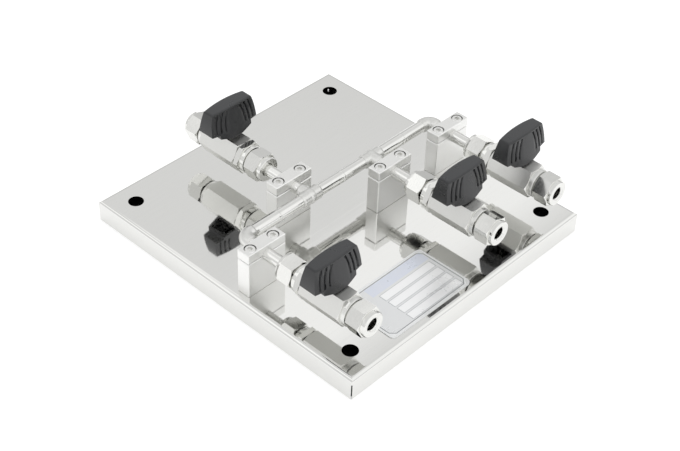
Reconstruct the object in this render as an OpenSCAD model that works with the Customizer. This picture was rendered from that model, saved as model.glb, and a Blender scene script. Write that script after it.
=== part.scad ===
// Changeover manifold: one header, four small ball valves and their clamps on a folded sheet panel.
// X runs along the valves, Y along the header and Z up. The origin is the middle of the panel,
// at the lower edge of its folds, which is what the object stands on.

/* [Panel] */
// Length of the panel along the valves
panel_l = 180; // [160:1:240]
// Width of the panel along the header
panel_w = 171; // [150:1:240]
// Height of the folded edges
panel_h = 12.3; // [11:0.1:30]
// Thickness of the sheet
sheet_t = 1.5; // [1:0.1:2.5]
// Inside radius of the folds
fold_r = 1; // [0.5:0.1:2]
// Width of the open seam at each corner
seam_gap = 0.6; // [0.2:0.1:1.5]
// Diameter of the four mounting holes
hole_d = 8.2; // [4:0.1:10]
// From the panel's ends to the mounting holes
hole_inset_x = 14; // [10:0.5:20]
// From the panel's sides to the mounting holes
hole_inset_y = 13.6; // [10:0.1:20]

/* [Header] */
// Outside diameter of every tube
tube_d = 6.35; // [6:0.05:6.5]
// Wall of every tube
tube_wall = 0.9; // [0.7:0.05:1.2]
// Height of the tubes' axes above the panel
axis_h = 20.6; // [19:0.1:40]
// The header's axis along X
header_x = 1; // [-1:0.1:2]
// The header's middle along Y
header_y = -0.5; // [-1:0.1:1]
// From the panel's sides to the outer outlets
outlet_inset = 17.55; // [15.5:0.05:20]
// Outside diameter of the tees and elbows
fitting_d = 7.6; // [7:0.1:8.4]
// From a fitting's middle to its welded ends
fitting_leg = 6.5; // [6:0.1:7.5]
// Radius of the elbows' bend
bend_r = 4.2; // [4:0.1:4.5]
// Length of the taper at a fitting's ends
fitting_taper = 1; // [0.4:0.1:1.4]
// Height of the weld beads above the tube
bead_h = 0.15; // [0.05:0.05:0.3]
// Width of the weld beads
bead_w = 1.2; // [0.6:0.1:2]

/* [Clamps] */
// Middle of the right-hand clamps along X
right_clamp_x = 13.8; // [13:0.1:20]
// Middle of the left-hand clamp along X
left_clamp_x = -13.4; // [-20:0.1:-11]
// Thickness of the clamps along the tube
clamp_t = 7.8; // [7.6:0.1:10]
// Length of the clamps across the tube
clamp_l = 24.5; // [24:0.5:30]
// From the tube's axis to the top of a cap
cap_h = 5.4; // [5.2:0.1:9]
// Gap between a block and its cap
split_gap = 0.3; // [0.1:0.1:0.8]
// Bevel on the edges of blocks and caps
clamp_ease = 0.35; // [0.1:0.05:0.6]
// Distance between the two screws of a clamp
clamp_screw_pitch = 15; // [14.4:0.1:17]
// Nominal diameter of the cap screws
cap_screw_d = 3; // [2.5:0.1:3]
// Length of the cap screws under the head
cap_screw_l = 8; // [6:1:12]
// Nominal diameter of the screws under the panel
base_screw_d = 4; // [3:0.5:4]
// Length of the base screws under the head
base_screw_l = 10; // [6:1:10]

/* [Valve body] */
// From the panel's right-hand end to the stems
right_stem_inset = 31; // [30.5:0.5:34]
// From the panel's left-hand end to the stem
left_stem_inset = 32; // [30.5:0.5:36]
// Across flats of the hexagonal body
body_af = 16; // [15.8:0.1:17]
// From the stem to the end of the body's hexagon that takes the connector
body_in = 12.5; // [12.4:0.1:13.4]
// From the stem to the port end of the body's hexagon
body_out = 13.2; // [12.4:0.1:14]
// Diameter of the cross bore through the body
cavity_d = 9.1; // [9:0.1:9.4]
// Diameter of the ball
ball_d = 8; // [7.6:0.1:8.2]
// Diameter of the flow passage
orifice_d = 3.4; // [2.4:0.1:3.8]
// Diameter of the stem
stem_d = 3.6; // [3.2:0.1:3.8]
// Height of the stem above the valve's axis
stem_top = 20; // [19:0.5:21]
// Diameter of the stem's thrust collar
thrust_d = 5.2; // [4.8:0.1:5.4]
// Diameter of the packing pocket
packing_d = 6.5; // [6.3:0.1:6.8]
// Across flats of the packing bolt
gland_af = 8; // [7.6:0.1:8.2]

/* [Tube fittings] */
// Across flats of the connectors' collars
collar_af = 16; // [15.8:0.1:17]
// Length of the collars
collar_l = 3.4; // [3:0.1:5]
// Diameter of the turned shoulders behind the threads
shoulder_d = 15; // [13:0.1:15.4]
// Length of the turned shoulders
shoulder_l = 2.4; // [1.5:0.1:3.5]
// Thread shown between a shoulder and its nut
thread_gap = 0.8; // [0.4:0.1:2]
// Outside diameter of the connector thread
thread_d = 11; // [10.6:0.1:11.4]
// Across flats of the nuts
nut_af = 14.3; // [14:0.1:15]
// Length of a nut's hexagon
nut_hex_l = 8.5; // [8:0.1:10]
// Length of a nut's turned nose
nut_nose_l = 2.1; // [1.4:0.1:2.5]
// Diameter of a nut's turned nose
nose_d = 13.4; // [12:0.1:13.6]
// Bevel at the mouth of a nut
mouth_ease = 0.9; // [0.3:0.1:1.2]

/* [Handle] */
// Half of the handle's length at the wing's foot
wing_half = 15.2; // [13:0.1:16]
// Height of the handle's underside above the valve's axis
handle_z = 8.6; // [8.4:0.1:9]
// Height of the wing's foot above the valve's axis
wing_z = 12.8; // [12.4:0.1:14]
// Height of the crown above the valve's axis
crown_z = 25.6; // [24:0.1:30]
// Half of the length of the block under the wing
boss_half = 10.6; // [9:0.1:12]
// Half of the handle's thickness at its middle, at crown height
crown_half_t = 4.1; // [4:0.1:5.2]
// Lean of the broad sides from upright
side_lean = 11; // [9:0.5:12]
// Radius of the broad sides in plan
side_r = 77; // [60:1:120]
// Radius of the handle's two ends seen from the side
end_r = 32; // [26:0.5:40]
// Radius of the crown
crown_r = 180; // [80:5:300]
// Grip grooves at each end of a broad side
groove_count = 3; // [1:1:4]
// Distance between neighbouring grooves
groove_pitch = 2.8; // [2.2:0.1:3.4]
// From a handle's end to its first groove
groove_inset = 2.9; // [2:0.1:3.4]
// Width of a groove
groove_w = 1.3; // [0.6:0.1:1.6]
// Depth of a groove
groove_depth = 0.8; // [0.3:0.1:1.2]
// Plain lip between the grooves and the crown
lip_h = 1; // [0.6:0.1:3]
// Wall of the hollow foot under the wing
skirt_t = 1.4; // [1:0.1:1.6]
// Turn of the stem from closed to open
quarter_turn = 90; // [60:5:90]

/* [Data plate] */
// Width of the plate along X
plate_x = 34.4; // [20:0.2:36]
// Length of the plate along Y
plate_y = 57; // [30:0.5:58]
// From the panel's right-hand end to the plate
plate_inset = 4.6; // [4:0.1:12]
// From the left valve's axis to the plate's middle, along Y
plate_shift = -0.95; // [-1.5:0.05:3]
// Thickness of the plate
plate_t = 0.4; // [0.2:0.1:1]
// Radius of the plate's corners
plate_r = 2.6; // [0.5:0.1:6]

/* [Hidden] */
$fn = 96;
cut = 1;

// Clearances
clamp_clear = 0.05;
thread_clear = 0.05;
running_clear = 0.05;
tube_clear = 0.075;
seat_clear = 0.05;
shank_clear = 0.25;
head_clear = 0.35;

// Heights and stations that several pieces share
axis_z = panel_h + axis_h;
panel_under = panel_h - sheet_t;
outlet_pitch = (panel_w - 2 * outlet_inset) / 3;
outlet_y = [for (i = [0:3]) header_y + (i - 1.5) * outlet_pitch];
tube_bore_d = tube_d - 2 * tube_wall;
socket_d = tube_d + 2 * tube_clear;

// Stations along a tube fitting, counted from the face that its shoulder stands on
tube_depth = 9.4;
close_bore_l = 3.2;
ferrule_room = 2.4;
cone_depth = 1.8;
cone_slope = 0.5;
nut_s = shoulder_l + thread_gap;
nose_s = nut_s + nut_hex_l;
port_s = nose_s + nut_nose_l;
throat_s = port_s - close_bore_l;
thread_end_s = throat_s - ferrule_room;
cone_s = thread_end_s - cone_depth;
back_ferrule_s = thread_end_s + ferrule_room * 0.3;
tube_stop_s = thread_end_s - tube_depth;

// Share of the across flats that is left at the turned ends of a hexagon
facing_share = 0.985;

// Stations along a valve, counted from the stem's axis
spigot_l = 6.2;
seat_s = body_in - spigot_l;
seat_inner_s = ball_d * 0.275;

// Heights in a valve, counted from the flow axis
ball_r = ball_d / 2;
tongue_w = 1.5;
tongue_depth = 1.3;
tongue_z = ball_r - tongue_depth;
thrust_z = cavity_d / 2 + running_clear;
thrust_h = 0.8;
packing_ledge = 0.6;
packing_z = thrust_z + thrust_h + packing_ledge;
packing_h = 1;
gland_z = body_af / 2;
gland_hex_h = 2.6;
rim_z = gland_z + gland_hex_h;
rim_h = 2.6;
rim_d = gland_af - 0.4;
rim_bore_d = 5.2;
roof_clear = 0.3;
roof_z = rim_z + rim_h + roof_clear;
stem_flat_cut = 0.4;
stem_flat_half = stem_d / 2 - stem_flat_cut;
tooth_deg = 40;
stop_slack_deg = 2;
stop_deg = quarter_turn + tooth_deg + 2 * stop_slack_deg;

// Handle screw, in the end of the wing that faces +Y
grub_d = 3;
grub_l = 5;
grub_socket_af = 1.5;
grub_roof = 1;
grub_z = roof_z + grub_roof + grub_d / 2;

// Screws
head_sink = 0.2;
tip_room = 1;
cap_head_d = cap_screw_d * 1.83;
cap_head_h = cap_screw_d;
cap_seat_z = cap_h - cap_head_h - head_sink;
cap_thread_depth = cap_screw_l - cap_seat_z + tip_room;
base_head_d = base_screw_d * 1.75;
base_head_h = base_screw_d;
base_thread_depth = base_screw_l - sheet_t + tip_room;

// Each valve: name, outlet number, side of its port, its stem's shift outwards, its handle's
// lift on the stem, and the turn of its inner and port nuts
VALVES = [
    ["left", 1, -1, 0, 1.5, 9, 11],
    ["front", 0, 1, 0, 0.3, 11, -4],
    ["middle", 2, 1, 0, 0.3, -19, -21],
    ["back", 3, 1, 1, 0.3, -23, -6]
];
VALVE_PIECES = [
    "body", "connector", "nuts", "ferrules", "seats", "packing", "gland",
    "stem", "ball", "handle", "handle_screw", "clamp_block", "clamp_cap"
];

function valve_y(v) = outlet_y[v[1]];
function port_side(v) = v[2];
function stem_inset(v) = port_side(v) > 0 ? right_stem_inset : left_stem_inset;
function stem_x(v) = port_side(v) * (panel_l / 2 - stem_inset(v) + v[3]);
function handle_lift(v) = v[4];
function clamp_x(v) = port_side(v) > 0 ? right_clamp_x : left_clamp_x;

// Places a piece drawn about a valve's stem and flow axes
module at_valve(v) {
    translate([stem_x(v), valve_y(v), axis_z]) children();
}

// Places a piece drawn with the valve's port towards +X
module along_valve(v) {
    at_valve(v) rotate([0, 0, port_side(v) > 0 ? 0 : 180]) children();
}

// Places a tube fitting drawn towards +X on the port end of the body
module at_port() {
    translate([body_out, 0, 0]) children();
}

// Places a tube fitting drawn towards +X on the collar at the header's side
module at_collar() {
    mirror([1, 0, 0]) translate([body_in + collar_l, 0, 0]) children();
}

// Places a piece drawn about a clamp's middle, at the tube's axis
module at_clamp(v) {
    translate([clamp_x(v), valve_y(v), axis_z]) children();
}

// Turns a shape drawn along Z to lie along X
module along_x() {
    rotate([0, 90, 0]) children();
}

// Turns a shape drawn along Z to lie along Y
module along_y() {
    rotate([-90, 0, 0]) children();
}

// Hexagonal bar along X from s0 to s1, with its corners turned down to r0 and r1 at the ends
module turned_hex(af, s0, s1, r0, r1) {
    corner_r = af / 2 / cos(30) + 0.1;
    slope = tan(30);
    intersection() {
        rotate([90, 0, 90]) translate([0, 0, s0]) linear_extrude(s1 - s0)
            circle(d = af / cos(30), $fn = 6);
        along_x() rotate_extrude() polygon([
            [0, s0], [r0, s0], [corner_r, s0 + (corner_r - r0) * slope],
            [corner_r, s1 - (corner_r - r1) * slope], [r1, s1], [0, s1]
        ]);
    }
}

// Straight hole along X
module bore_x(d, s0, s1) {
    translate([s0, 0, 0]) along_x() cylinder(d = d, h = s1 - s0);
}

// Rectangle whose upper corners are rounded, standing on the X axis
module fold_profile(w, h, r) {
    translate([-w / 2, 0]) square([w, h - r]);
    translate([-w / 2 + r, 0]) square([w - 2 * r, h]);
    for (side = [-1, 1]) translate([side * (w / 2 - r), h - r]) circle(r);
}

// Box with rounded upper edges on all four sides
module folded_box(l, w, h, r) {
    intersection() {
        rotate([90, 0, 90]) linear_extrude(l, center = true) fold_profile(w, h, r);
        rotate([90, 0, 0]) linear_extrude(w, center = true) fold_profile(l, h, r);
    }
}

module hole_places() {
    for (x = [-1, 1], y = [-1, 1])
        translate([x * (panel_l / 2 - hole_inset_x), y * (panel_w / 2 - hole_inset_y), 0]) children();
}

module clamp_screw_places() {
    for (y = [-1, 1]) translate([0, y * clamp_screw_pitch / 2, 0]) children();
}

// Sheet panel with its four edges folded down and its corners left open
module panel() {
    outer_fold = fold_r + sheet_t;
    seam_top = panel_h - outer_fold - sheet_t / 3;
    color("gainsboro") difference() {
        folded_box(panel_l, panel_w, panel_h, outer_fold);
        translate([0, 0, -cut])
            folded_box(panel_l - 2 * sheet_t, panel_w - 2 * sheet_t, panel_under + cut, fold_r);
        for (x = [-1, 1], y = [-1, 1])
            translate([x * panel_l / 2, y * panel_w / 2, (seam_top - cut) / 2]) rotate([0, 0, x * y * 45])
                cube([6 * sheet_t, seam_gap, seam_top + cut], center = true);
        hole_places() translate([0, 0, panel_under - cut]) cylinder(d = hole_d, h = sheet_t + 2 * cut);
        for (v = VALVES) at_clamp(v) clamp_screw_places()
            translate([0, 0, -axis_h - sheet_t - cut])
                cylinder(d = base_screw_d + 2 * shank_clear, h = sheet_t + 2 * cut);
    }
}

// Thin bare plate bonded to the panel
module data_plate() {
    plate_at_x = panel_l / 2 - plate_inset - plate_x / 2;
    plate_at_y = outlet_y[1] + plate_shift;
    color("lightsteelblue") translate([plate_at_x, plate_at_y, panel_h]) linear_extrude(plate_t) {
        square([plate_x - 2 * plate_r, plate_y], center = true);
        square([plate_x, plate_y - 2 * plate_r], center = true);
        for (x = [-1, 1], y = [-1, 1])
            translate([x * (plate_x / 2 - plate_r), y * (plate_y / 2 - plate_r)]) circle(plate_r);
    }
}

// Tube along Z from 0 to l, with an orbital weld bead at bead_at
module welded_tube(l, bead_at) {
    tube_r = tube_d / 2;
    rotate_extrude() polygon([
        [tube_bore_d / 2, 0], [tube_r, 0], [tube_r, bead_at - bead_w / 2],
        [tube_r + bead_h, bead_at - bead_w / 4], [tube_r + bead_h, bead_at + bead_w / 4],
        [tube_r, bead_at + bead_w / 2], [tube_r, l], [tube_bore_d / 2, l]
    ]);
}

// The three lengths of header tube between the fittings
module header_tubes() {
    span = outlet_pitch - 2 * fitting_leg;
    color("whitesmoke") for (i = [0:2])
        translate([header_x, outlet_y[i] + fitting_leg, axis_z]) along_y() welded_tube(span, span / 2);
}

// One leg of a fitting along Z, from its middle to its welded end
module fitting_leg_shape() {
    end_d = tube_d + 2 * bead_h;
    cylinder(d = fitting_d, h = fitting_leg - fitting_taper);
    translate([0, 0, fitting_leg - fitting_taper]) cylinder(d1 = fitting_d, d2 = end_d, h = fitting_taper);
}

// Tee with its run along Y and its branch towards -X
module tee() {
    middle_d = fitting_d * 1.08;
    difference() {
        union() {
            sphere(d = middle_d);
            for (y = [-1, 1]) rotate([-90 * y, 0, 0]) fitting_leg_shape();
            rotate([0, -90, 0]) fitting_leg_shape();
        }
        translate([0, -fitting_leg - cut, 0]) along_y()
            cylinder(d = tube_bore_d, h = 2 * (fitting_leg + cut));
        rotate([0, -90, 0]) cylinder(d = tube_bore_d, h = fitting_leg + cut);
    }
}

module tees() {
    color("lightgray") {
        translate([header_x, outlet_y[1], axis_z]) tee();
        translate([header_x, outlet_y[2], axis_z]) mirror([1, 0, 0]) tee();
    }
}

// Quarter bend of diameter d with straight legs out to reach, from +X to +Y
module bend(d, reach) {
    straight = reach - bend_r;
    translate([bend_r, bend_r, 0]) rotate([0, 0, 180]) rotate_extrude(angle = 90)
        translate([bend_r, 0]) circle(d = d);
    translate([bend_r, 0, 0]) along_x() cylinder(d = d, h = straight);
    translate([0, bend_r, 0]) along_y() cylinder(d = d, h = straight);
}

// Elbow with one leg towards +X and the other towards +Y
module elbow() {
    end_d = tube_d + 2 * bead_h;
    difference() {
        union() {
            bend(fitting_d, fitting_leg - fitting_taper);
            translate([fitting_leg - fitting_taper, 0, 0]) along_x()
                cylinder(d1 = fitting_d, d2 = end_d, h = fitting_taper);
            translate([0, fitting_leg - fitting_taper, 0]) along_y()
                cylinder(d1 = fitting_d, d2 = end_d, h = fitting_taper);
        }
        bend(tube_bore_d, fitting_leg + cut);
    }
}

module elbows() {
    color("lightgray") {
        translate([header_x, outlet_y[0], axis_z]) elbow();
        translate([header_x, outlet_y[3], axis_z]) mirror([0, 1, 0]) elbow();
    }
}

// One straight tube from each outlet of the header to the stop in its valve
module branch_tubes() {
    color("whitesmoke") for (v = VALVES) {
        start = header_x + port_side(v) * fitting_leg;
        stop = stem_x(v) - port_side(v) * (body_in + collar_l + tube_stop_s);
        translate([start, valve_y(v), axis_z]) rotate([0, 90 * port_side(v), 0]) difference() {
            cylinder(d = tube_d, h = abs(stop - start));
            translate([0, 0, -cut]) cylinder(d = tube_bore_d, h = abs(stop - start) + 2 * cut);
        }
    }
}

// Rectangle with its corners cut at 45 degrees
module eased_rect(w, h) {
    e = clamp_ease;
    polygon([
        [-w / 2 + e, -h / 2], [w / 2 - e, -h / 2], [w / 2, -h / 2 + e], [w / 2, h / 2 - e],
        [w / 2 - e, h / 2], [-w / 2 + e, h / 2], [-w / 2, h / 2 - e], [-w / 2, -h / 2 + e]
    ]);
}

// Clamp-sized block from z0 to z1 with every edge eased
module eased_block(z0, z1) {
    h = z1 - z0;
    translate([0, 0, (z0 + z1) / 2]) intersection() {
        linear_extrude(h, center = true) eased_rect(clamp_t, clamp_l);
        rotate([90, 0, 0]) linear_extrude(clamp_l, center = true) eased_rect(clamp_t, h);
        rotate([90, 0, 90]) linear_extrude(clamp_t, center = true) eased_rect(clamp_l, h);
    }
}

module clamp_channel() {
    bore_x(tube_d + 2 * clamp_clear, -clamp_t / 2 - cut, clamp_t / 2 + cut);
}

// Lower half of a clamp, standing on the panel
module clamp_block() {
    top = -split_gap / 2;
    color("silver") difference() {
        eased_block(-axis_h, top);
        clamp_channel();
        clamp_screw_places() {
            translate([0, 0, -cap_thread_depth])
                cylinder(d = cap_screw_d + 2 * thread_clear, h = cap_thread_depth + cut);
            translate([0, 0, -axis_h - cut])
                cylinder(d = base_screw_d + 2 * thread_clear, h = base_thread_depth + cut);
        }
    }
}

// Upper half of a clamp, with counterbores for its two screws
module clamp_cap() {
    color("silver") difference() {
        eased_block(split_gap / 2, cap_h);
        clamp_channel();
        clamp_screw_places() {
            cylinder(d = cap_screw_d + 2 * shank_clear, h = cap_h);
            translate([0, 0, cap_seat_z]) cylinder(d = cap_head_d + 2 * head_clear, h = cap_h);
        }
    }
}

// Socket head screw pointing down, with its seat at z = 0
module socket_screw(d, l, head_d, head_h) {
    edge = head_h * 0.1;
    difference() {
        rotate_extrude() polygon([
            [0, -l], [d / 2 - edge, -l], [d / 2, -l + edge], [d / 2, 0], [head_d / 2, 0],
            [head_d / 2, head_h - edge], [head_d / 2 - edge, head_h], [0, head_h]
        ]);
        translate([0, 0, head_h * 0.5]) cylinder(d = d * 0.85 / cos(30), h = head_h, $fn = 6);
    }
}

module cap_screws() {
    color("dimgray") for (v = VALVES) at_clamp(v) clamp_screw_places()
        translate([0, 0, cap_seat_z]) socket_screw(cap_screw_d, cap_screw_l, cap_head_d, cap_head_h);
}

module base_screws() {
    color("dimgray") for (v = VALVES) at_clamp(v) clamp_screw_places()
        translate([0, 0, -axis_h - sheet_t]) mirror([0, 0, 1])
            socket_screw(base_screw_d, base_screw_l, base_head_d, base_head_h);
}

// Turned shoulder and thread of a tube fitting
module fitting_end() {
    shoulder_r = shoulder_d / 2;
    shoulder_ease = 0.3;
    thread_r = thread_d / 2;
    thread_ease = 0.8;
    along_x() rotate_extrude() polygon([
        [0, -cut], [shoulder_r, -cut], [shoulder_r, shoulder_l - shoulder_ease],
        [shoulder_r - shoulder_ease, shoulder_l], [thread_r, shoulder_l],
        [thread_r, thread_end_s - thread_ease], [thread_r - thread_ease, thread_end_s], [0, thread_end_s]
    ]);
}

// Socket for the tube and cone for the front ferrule
module fitting_bore() {
    mouth_r = socket_d / 2 + cone_slope * (cone_depth + cut);
    bore_x(socket_d, tube_stop_s, port_s);
    along_x() rotate_extrude() polygon([
        [0, cone_s], [socket_d / 2, cone_s], [mouth_r, thread_end_s + cut], [0, thread_end_s + cut]
    ]);
}

// Hexagonal bar body with its port, the bore for ball and seats and the stepped bore for the stem
module valve_body() {
    end_r = body_af / 2 * facing_share;
    color("silver") difference() {
        union() {
            turned_hex(body_af, -body_in, body_out, end_r, end_r);
            at_port() fitting_end();
        }
        bore_x(cavity_d, -body_in - cut, seat_s);
        bore_x(tube_bore_d, 0, body_out);
        at_port() fitting_bore();
        cylinder(d = thrust_d + 2 * running_clear, h = thrust_z + thrust_h + running_clear);
        cylinder(d = stem_d + 2 * running_clear, h = packing_z + cut);
        translate([0, 0, packing_z]) cylinder(d = packing_d, h = body_af);
    }
}

// Connector screwed into the body: spigot, hexagonal collar and tube fitting
module connector() {
    end_r = collar_af / 2 * facing_share;
    spigot_s = -collar_l - spigot_l;
    color("silver") difference() {
        union() {
            bore_x(cavity_d - 2 * thread_clear, spigot_s, -collar_l / 2);
            turned_hex(collar_af, -collar_l, 0, end_r, end_r);
            fitting_end();
        }
        bore_x(tube_bore_d, spigot_s - cut, 0);
        fitting_bore();
    }
}

// Compression nut turned about the tube by turn degrees
module nut(turn) {
    end_r = nut_af / 2 * facing_share;
    nose_r = nose_d / 2;
    nose_ease = 0.4;
    throat_r = socket_d / 2;
    seat_r = throat_r + 1.5;
    wall_r = thread_d / 2 + thread_clear;
    color("silver") rotate([turn, 0, 0]) difference() {
        union() {
            turned_hex(nut_af, nut_s, nose_s, end_r, end_r);
            along_x() rotate_extrude() polygon([
                [0, nose_s - cut], [nose_r, nose_s - cut], [nose_r, port_s - nose_ease],
                [nose_r - nose_ease, port_s], [0, port_s]
            ]);
        }
        along_x() rotate_extrude() polygon([
            [0, nut_s - cut], [wall_r, nut_s - cut], [wall_r, thread_end_s + 0.3],
            [seat_r, throat_s], [throat_r, throat_s], [throat_r, port_s - mouth_ease],
            [throat_r + mouth_ease + cut, port_s + cut], [0, port_s + cut]
        ]);
    }
}

// Front and back ferrule of a fitting, the front one's taper standing just off the cone
module ferrule_pair() {
    inner_r = socket_d / 2;
    outer_r = inner_r + 1.3;
    tip_s = cone_s + 0.3;
    tip_l = 0.3;
    gap = 0.1;
    color("gainsboro") along_x() {
        rotate_extrude() polygon([
            [inner_r, tip_s], [inner_r + cone_slope * (tip_l + gap), tip_s + tip_l],
            [inner_r + cone_slope * (cone_depth - gap), thread_end_s],
            [outer_r, thread_end_s + running_clear], [outer_r, back_ferrule_s - gap],
            [inner_r, back_ferrule_s - tip_l - gap]
        ]);
        rotate_extrude() polygon([
            [inner_r, back_ferrule_s - tip_l], [inner_r + cone_depth / 2, back_ferrule_s],
            [outer_r, back_ferrule_s], [outer_r, throat_s - tip_l - gap], [inner_r, throat_s - gap]
        ]);
    }
}

// Seat ring on the +X side, cupped to the ball
module seat() {
    inner_r = orifice_d / 2 + 0.3;
    color("white") along_x() rotate_extrude() difference() {
        translate([inner_r, seat_inner_s])
            square([cavity_d / 2 - 2 * seat_clear - inner_r, seat_s - seat_inner_s]);
        circle(d = ball_d + 2 * seat_clear);
    }
}

// Both nuts of a valve, the inner one towards the header
module nuts(v) {
    at_collar() nut(v[5]);
    at_port() nut(v[6]);
}

module ferrules() {
    at_collar() ferrule_pair();
    at_port() ferrule_pair();
}

module seats() {
    seat();
    mirror([1, 0, 0]) seat();
}

// Packing ring between the stem and the body
module packing() {
    color("white") translate([0, 0, packing_z]) difference() {
        cylinder(d = packing_d - 2 * thread_clear, h = packing_h);
        translate([0, 0, -cut]) cylinder(d = stem_d + 2 * running_clear, h = packing_h + 2 * cut);
    }
}

// Packing bolt, with a cut-away rim that stops the handle at both ends of its turn
module gland() {
    seat_z = packing_z + packing_h;
    bore_d = stem_d + 4 * running_clear;
    color("silver") difference() {
        union() {
            translate([0, 0, seat_z]) cylinder(d = packing_d - 2 * thread_clear, h = gland_z - seat_z);
            translate([0, 0, gland_z]) cylinder(d = gland_af / cos(30), h = gland_hex_h, $fn = 6);
            translate([0, 0, rim_z]) difference() {
                cylinder(d = rim_d, h = rim_h);
                translate([0, 0, -cut]) cylinder(d = rim_bore_d, h = rim_h + 2 * cut);
                sector(rim_d, stop_deg, rim_h + cut);
            }
        }
        translate([0, 0, seat_z - cut]) cylinder(d = bore_d, h = rim_z + rim_h);
    }
}

// Wedge of a disc about the +X direction, from z = 0 up
module sector(d, degrees, h) {
    rotate([0, 0, -degrees / 2]) rotate_extrude(angle = degrees) square([d, h]);
}

// Stem with its tongue, thrust collar and two flats for the handle
module stem() {
    flat_z = roof_z - 0.3;
    color("lightgray") difference() {
        union() {
            translate([0, 0, thrust_z]) cylinder(d = thrust_d, h = thrust_h);
            translate([0, 0, thrust_z]) cylinder(d = stem_d, h = stem_top - thrust_z);
            intersection() {
                translate([0, 0, tongue_z + running_clear])
                    cylinder(r = seat_inner_s - 2 * running_clear, h = thrust_z - tongue_z);
                translate([0, 0, ball_r]) cube([thrust_d, tongue_w, 2 * ball_r], center = true);
            }
        }
        for (y = [-1, 1]) translate([0, y * (stem_flat_half + stem_d), flat_z + stem_top])
            cube([2 * stem_d, 2 * stem_d, 2 * stem_top], center = true);
    }
}

// Ball in its closed place, with its bore along Y and the slot for the stem on top
module ball() {
    slot_w = tongue_w + 2 * running_clear;
    color("whitesmoke") difference() {
        sphere(d = ball_d);
        translate([0, -ball_d, 0]) along_y() cylinder(d = orifice_d, h = 2 * ball_d);
        translate([0, 0, tongue_z + ball_r]) cube([2 * ball_d, slot_w, 2 * ball_r], center = true);
    }
}

// Upright outline of the handle, in its own Y and Z
module handle_outline() {
    boss_edge = boss_half - 0.2;
    foot_half = boss_half * 0.32;
    foot_z = handle_z + 1.9;
    intersection() {
        translate([-wing_half - cut, wing_z]) square([2 * (wing_half + cut), crown_z - wing_z]);
        translate([0, crown_z - crown_r]) circle(crown_r, $fn = 360);
        intersection_for (side = [-1, 1])
            translate([side * (wing_half - end_r), wing_z + 1]) circle(end_r, $fn = 180);
    }
    polygon([
        [-boss_half, wing_z + 0.01], [-boss_edge, foot_z], [-foot_half, handle_z],
        [foot_half, handle_z], [boss_edge, foot_z], [boss_half, wing_z + 0.01]
    ]);
}

// Solid between the two leaning broad sides, brought in by depth
module between_sides(depth) {
    reach = 2 * crown_z;
    intersection_for (side = [-1, 1])
        translate([side * crown_half_t, 0, crown_z]) rotate([0, -side * side_lean, 0])
            translate([-side * side_r, 0, -reach]) cylinder(r = side_r - depth, h = 1.5 * reach, $fn = 360);
}

// Bands that follow the handle's two ends, one for each grip groove
module groove_bands() {
    for (side = [-1, 1], i = [0:groove_count - 1]) {
        band_r = end_r - groove_inset - i * groove_pitch;
        translate([side * (wing_half - end_r), wing_z + 1]) intersection() {
            difference() {
                circle(band_r + groove_w / 2, $fn = 180);
                circle(band_r - groove_w / 2, $fn = 180);
            }
            translate([side > 0 ? 0 : -end_r, -0.3]) square([end_r, crown_z - wing_z - lip_h - 1]);
        }
    }
}

// Hollow of the foot, open below, with room for the packing bolt
module handle_hollow() {
    hollow_h = roof_z - handle_z + cut;
    intersection() {
        between_sides(skirt_t);
        translate([0, 0, roof_z - hollow_h / 2])
            cube([4 * boss_half, 2 * (boss_half - skirt_t), hollow_h], center = true);
    }
}

// Moulded wing handle with grip grooves, over the packing bolt and the stem's flats
module handle() {
    color([0.17, 0.17, 0.18]) difference() {
        intersection() {
            rotate([90, 0, 90]) linear_extrude(4 * crown_half_t, center = true) handle_outline();
            between_sides(0);
        }
        difference() {
            rotate([90, 0, 90]) linear_extrude(4 * crown_half_t, center = true) groove_bands();
            between_sides(groove_depth);
        }
        difference() {
            handle_hollow();
            stop_tooth();
        }
        intersection() {
            translate([0, 0, handle_z])
                cylinder(d = stem_d + 2 * running_clear, h = stem_top + 2 * running_clear - handle_z);
            cube([2 * stem_d, 2 * (stem_flat_half + running_clear), 3 * stem_top], center = true);
        }
        translate([0, stem_flat_half, grub_z]) along_y()
            cylinder(d = grub_d + 2 * thread_clear, h = wing_half);
    }
}

// Tooth under the handle's roof that runs in the packing bolt's cut-away rim
module stop_tooth() {
    rest_deg = -quarter_turn / 2;
    tooth_z = rim_z + roof_clear;
    rotate([0, 0, rest_deg]) translate([0, 0, tooth_z]) difference() {
        sector(rim_d / 2 - running_clear, tooth_deg, roof_z - tooth_z + cut);
        translate([0, 0, -cut]) cylinder(d = rim_bore_d + 2 * running_clear, h = roof_z);
    }
}

// Headless screw that holds the handle on the stem's flat
module handle_screw() {
    translate([0, stem_flat_half, grub_z]) along_y() color("dimgray") difference() {
        cylinder(d = grub_d, h = grub_l);
        translate([0, 0, grub_l / 2]) cylinder(d = grub_socket_af / cos(30), h = grub_l, $fn = 6);
    }
}

panel();
data_plate();
header_tubes();
tees();
elbows();
branch_tubes();
cap_screws();
base_screws();
for (v = VALVES) {
    along_valve(v) valve_body();
    along_valve(v) at_collar() connector();
    along_valve(v) nuts(v);
    along_valve(v) ferrules();
    along_valve(v) seats();
    at_valve(v) packing();
    at_valve(v) gland();
    at_valve(v) stem();
    at_valve(v) ball();
    at_valve(v) translate([0, 0, handle_lift(v)]) handle();
    at_valve(v) translate([0, 0, handle_lift(v)]) handle_screw();
    at_clamp(v) clamp_block();
    at_clamp(v) clamp_cap();
}
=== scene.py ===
import math
import bmesh
import bpy
from mathutils import Matrix, Vector


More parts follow.
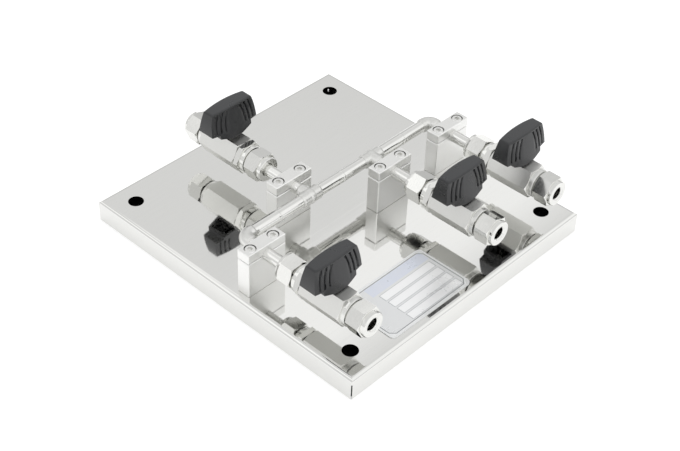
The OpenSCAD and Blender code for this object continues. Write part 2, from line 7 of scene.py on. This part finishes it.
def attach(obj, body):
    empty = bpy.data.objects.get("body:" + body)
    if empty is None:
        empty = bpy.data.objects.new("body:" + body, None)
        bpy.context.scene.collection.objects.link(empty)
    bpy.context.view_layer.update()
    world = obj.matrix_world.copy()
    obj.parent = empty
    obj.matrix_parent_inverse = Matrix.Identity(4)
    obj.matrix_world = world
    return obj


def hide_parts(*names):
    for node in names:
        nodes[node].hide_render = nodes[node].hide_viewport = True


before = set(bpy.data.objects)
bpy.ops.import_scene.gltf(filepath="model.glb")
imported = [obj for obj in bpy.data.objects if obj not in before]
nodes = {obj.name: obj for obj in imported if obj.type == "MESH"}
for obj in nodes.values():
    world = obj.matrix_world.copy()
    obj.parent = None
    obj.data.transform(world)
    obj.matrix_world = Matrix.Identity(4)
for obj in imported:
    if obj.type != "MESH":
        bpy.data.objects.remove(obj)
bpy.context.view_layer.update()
valves = ["left", "front", "middle", "back"]
print("frame:", len(nodes), "nodes")

# camera, as the photograph was taken. Angles are in degrees, the lens and the sensor in millimetres
cameraSet = {"azimuth": 42.246, "elevation": 40.006, "roll": 2.235, "distance": 0.7238,
             "target": (0.0109, -0.0106, 0.0123), "lens": 75.36, "sensor": 36, "near": 0.05, "far": 20}


def placeCamera(s):
    a = math.radians(s["azimuth"])
    e = math.radians(s["elevation"])
    r = math.radians(s["roll"])
    back = Vector((math.sin(a) * math.cos(e), -math.cos(a) * math.cos(e), math.sin(e)))
    right = (-back).cross(Vector((0, 0, 1))).normalized()
    up = right.cross(-back)
    rolledRight = math.cos(r) * right + math.sin(r) * up
    rolledUp = -math.sin(r) * right + math.cos(r) * up
    data = bpy.data.cameras.new("mainCamera")
    data.sensor_fit = "HORIZONTAL"
    data.sensor_width = s["sensor"]
    data.lens = s["lens"]
    data.clip_start = s["near"]
    data.clip_end = s["far"]
    camera = bpy.data.objects.new("mainCamera", data)
    turn = Matrix((rolledRight, rolledUp, back)).transposed().to_4x4()
    turn.translation = Vector(s["target"]) + back * s["distance"]
    camera.matrix_world = turn
    bpy.context.scene.collection.objects.link(camera)
    bpy.context.scene.camera = camera


placeCamera(cameraSet)
print("camera placed")


# small helpers for node trees. A value is a number, a colour, a vector or another node's output
def fill(tree, node, values):
    for key, value in values.items():
        if isinstance(value, bpy.types.NodeSocket):
            tree.links.new(value, node.inputs[key])
        else:
            node.inputs[key].default_value = value


def addNode(tree, kind, values=None, **settings):
    node = tree.nodes.new(kind)
    for key, value in settings.items():
        setattr(node, key, value)
    fill(tree, node, values or {})
    return node


def opaque(colour):
    return (*colour, 1)


def mathNode(tree, operation, *values):
    return addNode(tree, "ShaderNodeMath", dict(enumerate(values)), operation=operation).outputs[0]


# the Mix node has its own sockets for each kind of data, told apart by number
def mixColour(tree, factor, a, b):
    return addNode(tree, "ShaderNodeMix", {0: factor, 6: a, 7: b}, data_type="RGBA").outputs[2]


def mixValue(tree, factor, a, b):
    return addNode(tree, "ShaderNodeMix", {0: factor, 2: a, 3: b}, data_type="FLOAT").outputs[0]


# where the mask is 1, the cover hides this share of the colour under it
def layOver(tree, colour, mask, share, cover):
    return mixColour(tree, mathNode(tree, "MULTIPLY", mask, share), colour, cover)


def ramp(tree, source, fromLow, fromHigh, toLow=0.0, toHigh=1.0):
    values = {"Value": source, "From Min": fromLow, "From Max": fromHigh, "To Min": toLow, "To Max": toHigh}
    return addNode(tree, "ShaderNodeMapRange", values, clamp=True).outputs[0]


def axes(tree, vector):
    return addNode(tree, "ShaderNodeSeparateXYZ", {0: vector}).outputs


def addBump(tree, height, s):
    values = {"Height": height, "Strength": s["strength"], "Distance": s["distance"]}
    return addNode(tree, "ShaderNodeBump", values).outputs[0]


def newMaterial(name):
    mat = bpy.data.materials.new(name)
    mat.use_nodes = True
    tree = mat.node_tree
    tree.nodes.clear()
    surface = addNode(tree, "ShaderNodeBsdfPrincipled")
    addNode(tree, "ShaderNodeOutputMaterial", {"Surface": surface.outputs[0]})
    place = addNode(tree, "ShaderNodeTexCoord").outputs["Object"]
    return mat, tree, surface, place


# a group's input is a vector where its starting value is one, and every output is a single value
def newGroup(name, inputs, outputs):
    group = bpy.data.node_groups.new(name, "ShaderNodeTree")
    for key, value in inputs.items():
        kind = "NodeSocketVector" if isinstance(value, tuple) else "NodeSocketFloat"
        socket = group.interface.new_socket(key, in_out="INPUT", socket_type=kind)
        socket.default_value = value
    for key in outputs:
        group.interface.new_socket(key, in_out="OUTPUT", socket_type="NodeSocketFloat")
    given = group.nodes.new("NodeGroupInput").outputs
    result = group.nodes.new("NodeGroupOutput")
    return group, given, result


def useGroup(tree, group, **values):
    return addNode(tree, "ShaderNodeGroup", values, node_tree=group).outputs


# effects that several materials share: fine grain, as height and as pale spots
grainSet = {"detail": 3.0, "roughness": 0.55, "cellScale": 0.7, "cellShare": 0.5, "spots": (0.42, 0.62)}


def makeGrain(s):
    group, given, result = newGroup("fineGrain", {"place": (0, 0, 0), "perMetre": 1500.0,
                                                  "stretch": (1, 1, 1)}, ["height", "spots"])
    stretched = addNode(group, "ShaderNodeVectorMath", {0: given["place"], 1: given["stretch"]},
                        operation="MULTIPLY").outputs[0]
    fine = addNode(group, "ShaderNodeTexNoise", {"Vector": stretched, "Scale": given["perMetre"],
                                                 "Detail": s["detail"], "Roughness": s["roughness"]})
    cellScale = mathNode(group, "MULTIPLY", given["perMetre"], s["cellScale"])
    cells = addNode(group, "ShaderNodeTexVoronoi", {"Vector": stretched, "Scale": cellScale},
                    feature="SMOOTH_F1")
    height = mathNode(group, "MULTIPLY_ADD", cells.outputs["Distance"], s["cellShare"], fine.outputs["Fac"])
    fill(group, result, {"height": height, "spots": ramp(group, fine.outputs["Fac"], *s["spots"])})
    return group


# soft clouds of handling, and fine scratches. A stroke is its turn about Z and how the noise is drawn out
handlingSet = {"detail": 4.0, "roughness": 0.6, "distortion": 0.4, "cloud": (0.35, 0.7),
               "strokes": ((0.35, (900, 9, 900)), (-0.9, (700, 7, 700)), (1.5, (1000, 12, 1000))),
               "strokeDetail": 1.0, "thin": (0.68, 0.74)}


def makeHandling(s):
    group, given, result = newGroup("handlingMarks", {"place": (0, 0, 0), "perMetre": 60.0},
                                    ["cloud", "scratches"])
    cloud = addNode(group, "ShaderNodeTexNoise",
                    {"Vector": given["place"], "Scale": given["perMetre"], "Detail": s["detail"],
                     "Roughness": s["roughness"], "Distortion": s["distortion"]})
    scratches = 0.0
    for turn, stretch in s["strokes"]:
        turned = addNode(group, "ShaderNodeMapping",
                         {"Vector": given["place"], "Rotation": (0, 0, turn), "Scale": stretch})
        stroke = addNode(group, "ShaderNodeTexNoise",
                         {"Vector": turned.outputs[0], "Scale": 1.0, "Detail": s["strokeDetail"]})
        scratches = mathNode(group, "MAXIMUM", scratches, ramp(group, stroke.outputs["Fac"], *s["thin"]))
    fill(group, result, {"cloud": ramp(group, cloud.outputs["Fac"], *s["cloud"]), "scratches": scratches})
    return group


# edges, whole and with chips, which the finishes paint paler, partly as edge wear and partly as a painted
# highlight. An edge is where a rounded normal turns away from the plain one
edgeSet = {"samples": 6, "turned": (0.995, 0.9), "chipScale": 420.0, "chipDetail": 3.0,
           "chips": (0.4, 0.6, 0.15)}


def makeEdges(s):
    group, given, result = newGroup("edgeMask", {"radius": 0.0004, "place": (0, 0, 0)}, ["mask", "broken"])
    rounded = addNode(group, "ShaderNodeBevel", {"Radius": given["radius"]}, samples=s["samples"])
    plain = addNode(group, "ShaderNodeNewGeometry")
    dot = addNode(group, "ShaderNodeVectorMath", {0: rounded.outputs[0], 1: plain.outputs["Normal"]},
                  operation="DOT_PRODUCT")
    mask = ramp(group, dot.outputs["Value"], *s["turned"])
    chips = addNode(group, "ShaderNodeTexNoise",
                    {"Vector": given["place"], "Scale": s["chipScale"], "Detail": s["chipDetail"]})
    broken = mathNode(group, "MULTIPLY", mask, ramp(group, chips.outputs["Fac"], *s["chips"]))
    fill(group, result, {"mask": mask, "broken": broken})
    return group


# turned rings on faces square to X. The valves' axes lie one pitch apart, so one wrapped Y serves them all
turningSet = {"axisY": 0.02215, "axisZ": 0.0329, "pitch": 0.0453, "feed": 0.0003, "endFace": (0.75, 0.9)}


def makeTurning(s):
    group, given, result = newGroup("turningMarks",
                                    {"place": (0, 0, 0), "axisY": s["axisY"], "axisZ": s["axisZ"],
                                     "pitch": s["pitch"], "feed": s["feed"]}, ["rings"])
    parts = axes(group, given["place"])
    half = mathNode(group, "MULTIPLY", given["pitch"], 0.5)
    low = mathNode(group, "MULTIPLY", half, -1.0)
    y = mathNode(group, "WRAP", mathNode(group, "SUBTRACT", parts[1], given["axisY"]), half, low)
    z = mathNode(group, "SUBTRACT", parts[2], given["axisZ"])
    square = mathNode(group, "ADD", mathNode(group, "MULTIPLY", y, y), mathNode(group, "MULTIPLY", z, z))
    turns = mathNode(group, "DIVIDE", mathNode(group, "SQRT", square), given["feed"])
    wave = mathNode(group, "SINE", mathNode(group, "MULTIPLY", turns, math.tau))
    facing = axes(group, addNode(group, "ShaderNodeNewGeometry").outputs["True Normal"])
    endFace = ramp(group, mathNode(group, "ABSOLUTE", facing[0]), *s["endFace"])
    fill(group, result, {"rings": mathNode(group, "MULTIPLY", wave, endFace)})
    return group


# sharp-cornered or bevelled rectangle round a middle: a mask, and the depth inside its outline
rectSet = {"blur": 0.00008}


def makeRect(s):
    group, given, result = newGroup("rectMask", {"place": (0, 0, 0), "x": 0.0, "y": 0.0, "halfX": 0.01,
                                                 "halfY": 0.01, "corner": 0.0}, ["inside", "depth"])
    parts = axes(group, given["place"])
    gaps = []
    for i, middle, half in ((0, "x", "halfX"), (1, "y", "halfY")):
        away = mathNode(group, "ABSOLUTE", mathNode(group, "SUBTRACT", parts[i], given[middle]))
        gaps.append(mathNode(group, "SUBTRACT", given[half], away))
    straight = mathNode(group, "MINIMUM", *gaps)
    slanted = mathNode(group, "SUBTRACT", mathNode(group, "ADD", *gaps), given["corner"])
    depth = mathNode(group, "MINIMUM", straight, mathNode(group, "MULTIPLY", slanted, math.sqrt(0.5)))
    fill(group, result, {"inside": ramp(group, depth, 0.0, s["blur"]), "depth": depth})
    return group


grainGroup = makeGrain(grainSet)
handlingGroup = makeHandling(handlingSet)
edgeGroup = makeEdges(edgeSet)
turningGroup = makeTurning(turningSet)
rectGroup = makeRect(rectSet)
print("shared effects built")

# metal finishes. dark is the colour between the grain's pale spots, grain how many spots go to a metre,
# stretch how they are drawn out (the least factor is the longest way), and bump how high they stand.
# edge is the width of a pale edge, which stands partly for edge wear and partly for a painted highlight,
# the key after it how much that edge shows, and rings the height of turned rings
metalFinishes = {
    "rolledSheet": {"colour": (0.755, 0.755, 0.737), "dark": (0.748, 0.748, 0.730), "rough": (0.035, 0.055),
                    "grain": 900.0, "stretch": (1, 0.04, 1), "bump": 0.0015, "edge": 0.0005,
                    "edgeWearAndHighlight": 0.2},
    "brightTube": {"colour": (0.77, 0.77, 0.75), "dark": (0.745, 0.745, 0.725), "rough": (0.07, 0.12),
                   "grain": 1400.0, "stretch": (1, 0.15, 1), "bump": 0.006, "edge": 0.0003,
                   "edgeWearAndHighlight": 0.2},
    "mattFitting": {"colour": (0.75, 0.75, 0.73), "dark": (0.70, 0.70, 0.68), "rough": (0.26, 0.36),
                    "grain": 2600.0, "stretch": (1, 1, 1), "bump": 0.03, "edge": 0.0003, "edgeWearAndHighlight": 0.5},
    "blastedBody": {"colour": (0.78, 0.78, 0.757), "dark": (0.755, 0.755, 0.733), "rough": (0.28, 0.38),
                    "grain": 3200.0, "stretch": (1, 1, 1), "bump": 0.018, "edge": 0.0004, "edgeWearAndHighlight": 0.9},
    "turnedNut": {"colour": (0.77, 0.77, 0.747), "dark": (0.745, 0.745, 0.723), "rough": (0.05, 0.10),
                  "grain": 1800.0, "stretch": (1, 0.3, 0.3), "bump": 0.006, "edge": 0.0003, "edgeWearAndHighlight": 0.9,
                  "rings": 0.03},
    "clampAlloy": {"colour": (0.87, 0.87, 0.855), "dark": (0.85, 0.85, 0.835), "rough": (0.36, 0.46),
                   "grain": 2600.0, "stretch": (1, 1, 1), "bump": 0.015, "edge": 0.0005, "edgeWearAndHighlight": 1.0},
    "screwSteel": {"colour": (0.80, 0.80, 0.785), "dark": (0.77, 0.77, 0.755), "rough": (0.16, 0.26),
                   "grain": 2200.0, "stretch": (1, 1, 1), "bump": 0.015, "edge": 0.0002, "edgeWearAndHighlight": 0.8},
}
# what all metals share: an edge is painted brighter, partly as wear and partly as a painted highlight, and
# a scratch is rougher and sunk
wearAndHighlightSet = {"marks": 55.0, "wornAndHighlitEdgeGain": 1.12, "spotRough": 0.3, "scratchRough": 0.04, "scratchHeight": -0.006,
           "strength": 0.5, "distance": 0.0002}


def makeMetal(name, s, wearAndHighlight):
    mat, tree, surface, place = newMaterial(name)
    grain = useGroup(tree, grainGroup, place=place, perMetre=s["grain"], stretch=s["stretch"])
    marks = useGroup(tree, handlingGroup, place=place, perMetre=wearAndHighlight["marks"])
    edges = useGroup(tree, edgeGroup, place=place, radius=s["edge"])
    wornAndHighlitEdge = [min(1.0, c * wearAndHighlight["wornAndHighlitEdgeGain"]) for c in s["colour"]]
    colour = mixColour(tree, grain["spots"], opaque(s["dark"]), opaque(s["colour"]))
    # painted highlight along chipped edges, partly edge wear
    colour = layOver(tree, colour, edges["broken"], s["edgeWearAndHighlight"], opaque(wornAndHighlitEdge))
    low, high = s["rough"]
    rough = mixValue(tree, marks["cloud"], low, high)
    rough = mathNode(tree, "MULTIPLY_ADD", grain["spots"], (high - low) * wearAndHighlight["spotRough"], rough)
    rough = mathNode(tree, "MULTIPLY_ADD", marks["scratches"], wearAndHighlight["scratchRough"], rough)
    height = mathNode(tree, "MULTIPLY", grain["height"], s["bump"])
    height = mathNode(tree, "MULTIPLY_ADD", marks["scratches"], wearAndHighlight["scratchHeight"], height)
    if "rings" in s:
        turned = useGroup(tree, turningGroup, place=place)
        height = mathNode(tree, "MULTIPLY_ADD", turned["rings"], s["rings"], height)
    fill(tree, surface, {"Base Color": colour, "Roughness": rough, "Metallic": 1.0,
                         "Normal": addBump(tree, height, wearAndHighlight)})
    return mat


# moulded nylon. Clouds and spots are paler with handling. Edges are paler, partly as wear and partly as a
# painted highlight, and faces that look up get a painted highlight, as if lit from above. The top highlight
# is set by the upward part of a face's normal where it begins and is fullest, then its least and its
# greatest share
nylonSet = {"colour": (0.012, 0.0125, 0.014), "wornAndHighlit": (0.050, 0.052, 0.055), "rough": (0.26, 0.36),
            "ior": 1.52, "grain": 3600.0, "bump": 0.10, "marks": 90.0, "edge": 0.0004, "cloudLift": 0.18,
            "edgeWearAndHighlight": 0.25, "spotLift": 0.12, "topHighlight": (0.55, 0.95, 0.0, 0.45), "strength": 0.4,
            "distance": 0.0002}


def makeNylon(name, s):
    mat, tree, surface, place = newMaterial(name)
    grain = useGroup(tree, grainGroup, place=place, perMetre=s["grain"])
    marks = useGroup(tree, handlingGroup, place=place, perMetre=s["marks"])
    edges = useGroup(tree, edgeGroup, place=place, radius=s["edge"])
    wornAndHighlit = opaque(s["wornAndHighlit"])
    colour = layOver(tree, opaque(s["colour"]), marks["cloud"], s["cloudLift"], wornAndHighlit)
    # painted highlight along edges, partly wear
    colour = layOver(tree, colour, edges["mask"], s["edgeWearAndHighlight"], wornAndHighlit)
    colour = layOver(tree, colour, grain["spots"], s["spotLift"], wornAndHighlit)
    # painted highlight: faces that look up are paler, as if lit from above
    facing = axes(tree, addNode(tree, "ShaderNodeNewGeometry").outputs["Normal"])
    colour = mixColour(tree, ramp(tree, facing[2], *s["topHighlight"]), colour, wornAndHighlit)
    height = mathNode(tree, "MULTIPLY", grain["height"], s["bump"])
    fill(tree, surface, {"Base Color": colour, "Roughness": mixValue(tree, marks["cloud"], *s["rough"]),
                         "IOR": s["ior"], "Normal": addBump(tree, height, s)})
    return mat


# pale plastic of the seats and the packing rings, dulled in clouds
seatSet = {"dull": (0.86, 0.85, 0.82), "clean": (0.93, 0.92, 0.90), "rough": (0.32, 0.42), "marks": 300.0}


def makeSeatPlastic(name, s):
    mat, tree, surface, place = newMaterial(name)
    marks = useGroup(tree, handlingGroup, place=place, perMetre=s["marks"])
    colour = mixColour(tree, marks["cloud"], opaque(s["dull"]), opaque(s["clean"]))
    fill(tree, surface, {"Base Color": colour, "Roughness": mixValue(tree, marks["cloud"], *s["rough"])})
    return mat


# data plate: an outline, a pale band and empty fields, laid out from the plate's own middle.
# A field's layer is how far it reaches past the field, its colour and how much of it shows, and reachX
# is what part of that reach it has along X
plateSet = {"middle": (0.0682, -0.0241), "outline": (0.0157, 0.02725), "corner": 0.0027, "line": 0.00022,
            "band": (-0.01185, 0.006), "bandHalf": (0.0033, 0.0203), "fields": 4, "fieldPitch": 0.00578,
            "firstField": (-0.0050, 0.0066), "fieldHalf": (0.00208, 0.0178), "reachX": 0.6,
            "film": (0.80, 0.81, 0.81), "paleFilm": (0.84, 0.85, 0.85), "inner": (0.72, 0.73, 0.74),
            "tint": (0.68, 0.72, 0.82), "paleTint": (0.72, 0.75, 0.83), "ink": (0.16, 0.17, 0.18),
            "innerShare": 0.6, "bandShare": 0.85, "lineShare": 0.85,
            "layers": ((0.0006, (0.16, 0.17, 0.18), 0.65), (0.00035, (0.80, 0.81, 0.82), 1.0),
                       (0.0, (0.93, 0.935, 0.94), 1.0)),
            "grain": 2400.0, "marks": 70.0, "rough": (0.26, 0.38), "metallic": 0.35, "bump": 0.1,
            "strength": 0.25, "distance": 0.0001}


def makePlateFilm(name, s):
    mat, tree, surface, place = newMaterial(name)
    toMiddle = (-s["middle"][0], -s["middle"][1], 0)
    local = addNode(tree, "ShaderNodeMapping", {"Vector": place, "Location": toMiddle}).outputs[0]
    grain = useGroup(tree, grainGroup, place=place, perMetre=s["grain"])
    marks = useGroup(tree, handlingGroup, place=place, perMetre=s["marks"])
    colour = mixColour(tree, marks["cloud"], opaque(s["film"]), opaque(s["paleFilm"]))
    outline = useGroup(tree, rectGroup, place=local, halfX=s["outline"][0], halfY=s["outline"][1],
                       corner=s["corner"])
    colour = layOver(tree, colour, outline["inside"], s["innerShare"], opaque(s["inner"]))
    band = useGroup(tree, rectGroup, place=local, x=s["band"][0], y=s["band"][1], halfX=s["bandHalf"][0],
                    halfY=s["bandHalf"][1])
    tint = mixColour(tree, marks["cloud"], opaque(s["tint"]), opaque(s["paleTint"]))
    colour = layOver(tree, colour, band["inside"], s["bandShare"], tint)
    firstX, fieldY = s["firstField"]
    halfX, halfY = s["fieldHalf"]
    for i in range(s["fields"]):
        for reach, shade, share in s["layers"]:
            field = useGroup(tree, rectGroup, place=local, x=firstX + i * s["fieldPitch"], y=fieldY,
                             halfX=halfX + reach * s["reachX"], halfY=halfY + reach)
            colour = layOver(tree, colour, field["inside"], share, opaque(shade))
    line = mathNode(tree, "COMPARE", outline["depth"], s["line"], s["line"])
    colour = layOver(tree, colour, line, s["lineShare"], opaque(s["ink"]))
    height = mathNode(tree, "MULTIPLY", grain["height"], s["bump"])
    fill(tree, surface, {"Base Color": colour, "Roughness": mixValue(tree, marks["cloud"], *s["rough"]),
                         "Metallic": s["metallic"], "Normal": addBump(tree, height, s)})
    return mat


finishes = {name: makeMetal(name, s, wearAndHighlightSet) for name, s in metalFinishes.items()}
finishes["handleNylon"] = makeNylon("handleNylon", nylonSet)
finishes["seatPlastic"] = makeSeatPlastic("seatPlastic", seatSet)
finishes["plateFilm"] = makePlateFilm("plateFilm", plateSet)
print("finishes:", ", ".join(finishes))

# which finish each CAD node wears
nodeFinish = {"panel": "rolledSheet", "data_plate": "plateFilm", "header_tubes": "brightTube",
              "tees": "mattFitting", "elbows": "mattFitting", "branch_tubes": "brightTube",
              "cap_screws": "screwSteel", "base_screws": "screwSteel"}
valveFinish = {"body": "blastedBody", "connector": "turnedNut", "nuts": "turnedNut",
               "ferrules": "brightTube", "seats": "seatPlastic", "packing": "seatPlastic",
               "gland": "turnedNut", "stem": "brightTube", "ball": "brightTube", "handle": "handleNylon",
               "handle_screw": "screwSteel", "clamp_block": "clampAlloy", "clamp_cap": "clampAlloy"}
for v in valves:
    for part, finish in valveFinish.items():
        nodeFinish[f"{v}_{part}"] = finish


def dress(obj, finish):
    obj.data.materials.clear()
    obj.data.materials.append(finishes[finish])


for name, obj in nodes.items():
    dress(obj, nodeFinish[name])
print("nodes dressed")

# smooth pieces, made from merged copies of the solids, each part listed with a material slot's name; a
# piece wears its part's finish.
# merge is a distance, flat and sharp are angles in degrees, and weight is how much large faces count
smoothSlots = {"handle": "handle_nylon", "nuts": "valve_steel", "connector": "valve_steel",
               "body": "valve_steel"}
smoothSet = {"merge": 0.000002, "flat": 0.5, "sharp": 34, "weight": 80}
# the handles also get a rounded rim to their crowns. angle is the least turn, in degrees, of an edge
# that is rounded, up the least upward lean of a crown's face, and slack what its plane may be off.
# Fine facets within room of a corner are joined first, so the rounding has space there
crownSet = {"width": 0.0008, "segments": 4, "angle": 28, "up": 0.7, "slack": 0.00002, "room": 0.0025}


# a crown's face looks up, and no point of the handle lies above its plane
def crownRim(bm, s):
    spots = [v.co for v in bm.verts]
    crown = {f for f in bm.faces if f.normal.z > s["up"]
             and all((p - f.verts[0].co).dot(f.normal) < s["slack"] for p in spots)}
    limit = math.radians(s["angle"])
    return [e for e in bm.edges if e.calc_face_angle(0) > limit and any(f in crown for f in e.link_faces)]


def roundCrown(bm, s):
    limit = math.radians(s["angle"])
    onRim = {v for e in crownRim(bm, s) for v in e.verts}
    corners = [v.co.copy() for v in bm.verts if v in onRim
               and sum(e.calc_face_angle(0) > limit for e in v.link_edges) > 2]
    tight = {v for v in onRim if any(0 < (v.co - c).length < s["room"] for c in corners)}
    crowding = [e for e in bm.edges
                if e.calc_face_angle(math.pi) < limit and any(v in tight for v in e.verts)]
    bmesh.ops.dissolve_edges(bm, edges=crowding, use_verts=True, use_face_split=False)
    bmesh.ops.bevel(bm, geom=crownRim(bm, s), offset=s["width"], offset_type="OFFSET",
                    segments=s["segments"], profile=0.5, affect="EDGES", clamp_overlap=False, material=-1)


def smoothCopy(nodeName, pieceName, finish, body, s, crown=None):
    mesh = nodes[nodeName].data.copy()
    mesh.name = pieceName
    bm = bmesh.new()
    bm.from_mesh(mesh)
    bmesh.ops.remove_doubles(bm, verts=bm.verts, dist=s["merge"])
    bmesh.ops.dissolve_limit(bm, angle_limit=math.radians(s["flat"]), verts=bm.verts, edges=bm.edges)
    if crown:
        roundCrown(bm, crown)
    for f in bm.faces:
        f.smooth = True
    bm.to_mesh(mesh)
    bm.free()
    mesh.set_sharp_from_angle(angle=math.radians(s["sharp"]))
    piece = bpy.data.objects.new(pieceName, mesh)
    bpy.context.scene.collection.objects.link(piece)
    weighted = piece.modifiers.new("evenFaces", "WEIGHTED_NORMAL")
    weighted.keep_sharp = True
    weighted.weight = s["weight"]
    dress(piece, finish)
    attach(piece, body)
    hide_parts(nodeName)


for v in valves:
    for part, slotName in smoothSlots.items():
        nodeName = f"{v}_{part}"
        pieceName = f"{v}Soft{part.capitalize()}"
        if part == "handle":
            smoothCopy(nodeName, pieceName, valveFinish[part], f"{v}_lever", smoothSet, crownSet)
        else:
            smoothCopy(nodeName, pieceName, valveFinish[part], "manifold", smoothSet)
print("smooth pieces:", len(valves) * len(smoothSlots))

# floor. It is lifted to white for the camera and for reflections. Under the panel, between underX and
# underY on both sides, it is painted nearly black and not lifted, a painted shade, so that the panel's
# holes look down into the dark
floorSet = {"size": 6.0, "colour": (0.80, 0.80, 0.80), "under": (0.03, 0.03, 0.03), "lift": 0.36,
            "rough": 0.8, "specular": 0.1, "underX": 0.0885, "underY": 0.0840}


def makeFloor(s):
    bm = bmesh.new()
    bmesh.ops.create_grid(bm, x_segments=1, y_segments=1, size=s["size"] / 2)
    mesh = bpy.data.meshes.new("studioFloor")
    bm.to_mesh(mesh)
    bm.free()
    floor = bpy.data.objects.new("studioFloor", mesh)
    bpy.context.scene.collection.objects.link(floor)
    mat, tree, surface, place = newMaterial("studioFloor")
    path = addNode(tree, "ShaderNodeLightPath").outputs
    seen = mathNode(tree, "MAXIMUM", path["Is Camera Ray"], path["Is Glossy Ray"])
    seen = mathNode(tree, "MAXIMUM", seen, path["Is Transmission Ray"])
    parts = axes(tree, place)
    pastX = mathNode(tree, "GREATER_THAN", mathNode(tree, "ABSOLUTE", parts[0]), s["underX"])
    pastY = mathNode(tree, "GREATER_THAN", mathNode(tree, "ABSOLUTE", parts[1]), s["underY"])
    outside = mathNode(tree, "MAXIMUM", pastX, pastY)
    # painted shade: nearly black under the panel, the floor's own colour elsewhere
    colour = mixColour(tree, outside, opaque(s["under"]), opaque(s["colour"]))
    glow = mathNode(tree, "MULTIPLY", seen, mathNode(tree, "MULTIPLY", outside, s["lift"]))
    fill(tree, surface, {"Base Color": colour, "Roughness": s["rough"], "Specular IOR Level": s["specular"],
                         "Emission Color": (1, 1, 1, 1), "Emission Strength": glow})
    floor.data.materials.append(mat)


# a light tent: plain walls, a long softbox over the left side and a brighter one in front of it.
# X, Y and Z are the parts of a direction. stripFrom, stripTo and boxTo are -x over z, and boxSides is y
# over x, so an edge of a softbox shows as a straight line on the panel. A blur is half the width over
# which an edge fades, and leftX stands in for any x above it, so that y over x has no jump at x = 0
tentSet = {"frontWall": 0.86, "backWall": (0.62, 0.86), "backWallZ": (0.25, 0.60),
           "frontToBackY": (-0.25, 0.25), "rightWall": 1.16, "rightX": (0.1, 0.4), "rightZ": (0.05, 0.26),
           "stripShade": 1.12, "stripFrom": 0.787, "stripFromBlur": 0.012, "stripTo": 0.66,
           "boxShade": 1.26, "boxTo": 0.62, "toBlur": 0.02, "boxLow": 0.45, "boxLowBlur": 0.03,
           "boxSides": (0.72, 1.55), "boxSideBlur": 0.05, "leftX": -0.05, "diffuse": 0.92}


# a blurred step up or down
def rise(tree, source, at, blur):
    return ramp(tree, source, at - blur, at + blur)


def fall(tree, source, at, blur):
    return ramp(tree, source, at - blur, at + blur, 1.0, 0.0)


def makeTent(s):
    world = bpy.data.worlds.new("lightTent")
    world.use_nodes = True
    tree = world.node_tree
    tree.nodes.clear()
    x, y, z = axes(tree, addNode(tree, "ShaderNodeTexCoord").outputs["Generated"])
    backWall = ramp(tree, z, *s["backWallZ"], *s["backWall"])
    shade = mixValue(tree, ramp(tree, y, *s["frontToBackY"]), s["frontWall"], backWall)
    right = mathNode(tree, "MULTIPLY", ramp(tree, x, *s["rightX"]), ramp(tree, z, *s["rightZ"]))
    shade = mixValue(tree, right, shade, s["rightWall"])
    stripEdge = rise(tree, mathNode(tree, "MULTIPLY_ADD", z, s["stripFrom"], x), 0.0, s["stripFromBlur"])
    farEdge = fall(tree, mathNode(tree, "MULTIPLY_ADD", z, s["stripTo"], x), 0.0, s["toBlur"])
    shade = mixValue(tree, mathNode(tree, "MULTIPLY", stripEdge, farEdge), shade, s["stripShade"])
    slant = mathNode(tree, "DIVIDE", y, mathNode(tree, "MINIMUM", x, s["leftX"]))
    low, high = s["boxSides"]
    box = mathNode(tree, "MULTIPLY", rise(tree, slant, low, s["boxSideBlur"]),
                   fall(tree, slant, high, s["boxSideBlur"]))
    box = mathNode(tree, "MULTIPLY", box, rise(tree, z, s["boxLow"], s["boxLowBlur"]))
    boxEdge = fall(tree, mathNode(tree, "MULTIPLY_ADD", z, s["boxTo"], x), 0.0, s["toBlur"])
    shade = mixValue(tree, mathNode(tree, "MULTIPLY", box, boxEdge), shade, s["boxShade"])
    path = addNode(tree, "ShaderNodeLightPath").outputs
    mirrored = mathNode(tree, "MAXIMUM", path["Is Glossy Ray"], path["Is Transmission Ray"])
    shade = mathNode(tree, "MULTIPLY", shade, mixValue(tree, mirrored, s["diffuse"], 1.0))
    shade = mixValue(tree, path["Is Camera Ray"], shade, 1.0)
    grey = addNode(tree, "ShaderNodeCombineColor", {0: shade, 1: shade, 2: shade})
    back = addNode(tree, "ShaderNodeBackground", {"Color": grey.outputs[0]})
    addNode(tree, "ShaderNodeOutputWorld", {"Surface": back.outputs[0]})
    bpy.context.scene.world = world


# overhead softbox. Polished steel mirrors the tent alone, so the lamp doesn't show in it
lampSet = {"at": (-0.20, 0.30, 1.60), "aim": (0.0, 0.0, 0.0), "size": 1.5, "power": 6.0}


def makeLamp(s):
    data = bpy.data.lights.new("overheadSoft", "AREA")
    data.shape = "SQUARE"
    data.size = s["size"]
    data.energy = s["power"]
    lamp = bpy.data.objects.new("overheadSoft", data)
    lamp.location = s["at"]
    lamp.rotation_euler = (Vector(s["at"]) - Vector(s["aim"])).to_track_quat("Z", "Y").to_euler()
    lamp.visible_glossy = False
    bpy.context.scene.collection.objects.link(lamp)


makeFloor(floorSet)
makeTent(tentSet)
makeLamp(lampSet)
bpy.context.scene.view_settings.view_transform = "Standard"
print("studio lit")
